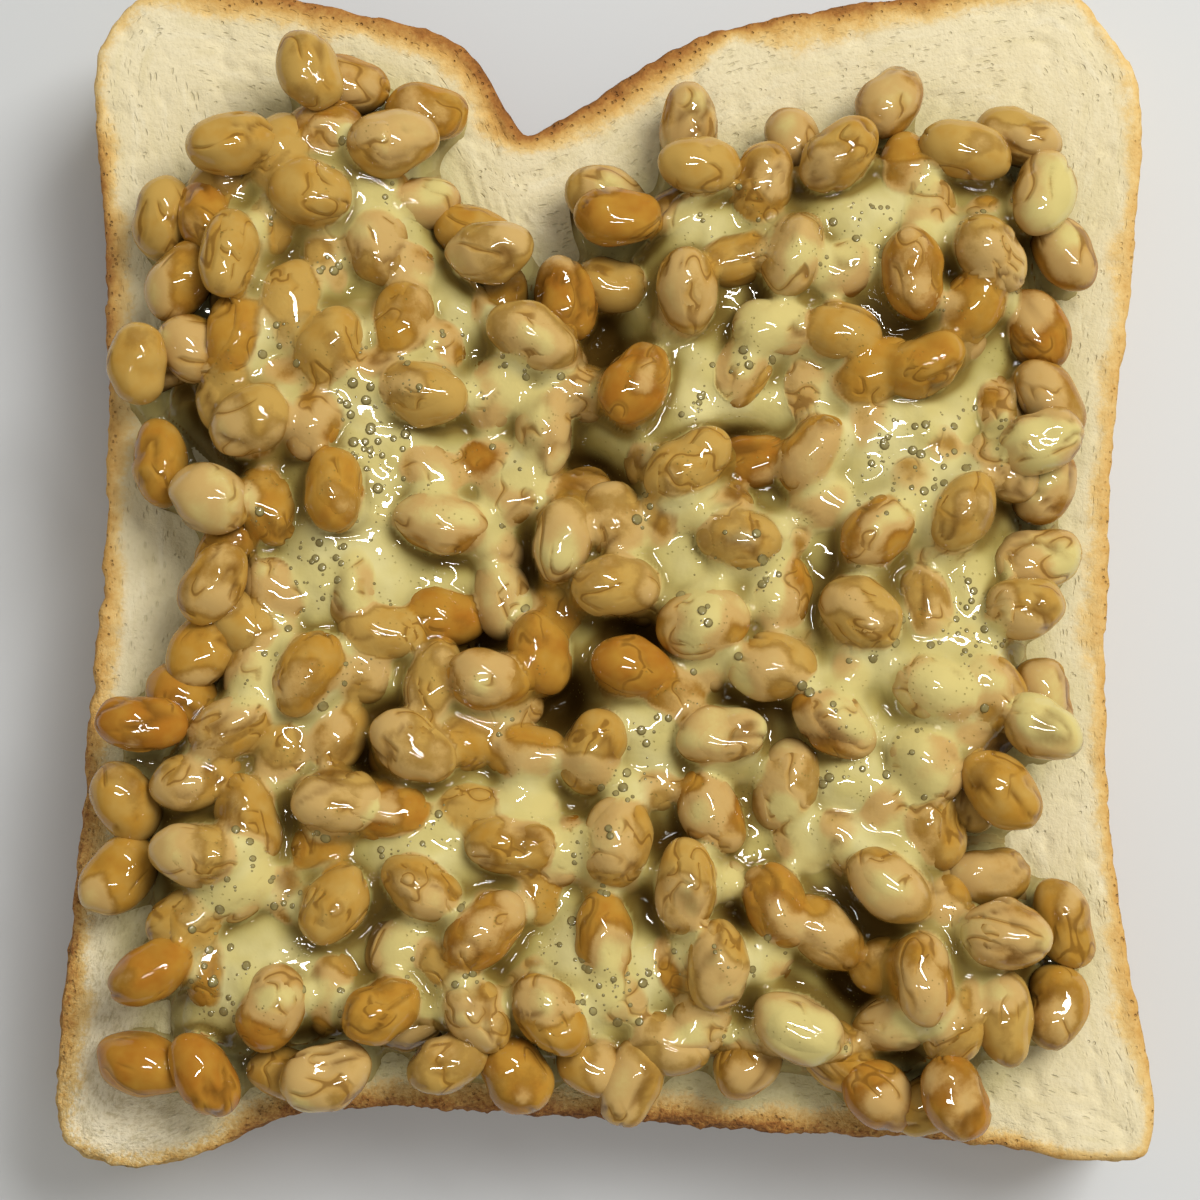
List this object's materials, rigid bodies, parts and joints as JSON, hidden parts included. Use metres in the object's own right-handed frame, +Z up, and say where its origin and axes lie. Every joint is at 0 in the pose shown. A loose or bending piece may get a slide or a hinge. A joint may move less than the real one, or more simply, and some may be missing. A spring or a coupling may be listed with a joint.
{
  "type": "natto mayonnaise toast",
  "caption": "Thick slice of split-top white bread lying flat, with a heap of sticky fermented soya beans in mayonnaise spread over its top.",
  "frame": {"origin": "centre of the slice's underside, where it rests", "axes": "+Z up through the slice's thickness towards the beans, +Y along the slice towards its two top humps, +X to the right seen from above"},
  "size_m": [0.12, 0.131, 0.0324],
  "materials": {
    "bread": "soft open white crumb with a golden brown crust",
    "natto": "wet glossy ochre beans in pale yellow-green cream"
  },
  "bodies": {
    "root": {"bread_slice": "bread", "natto_heap": "natto"}
  },
  "joints": []
}
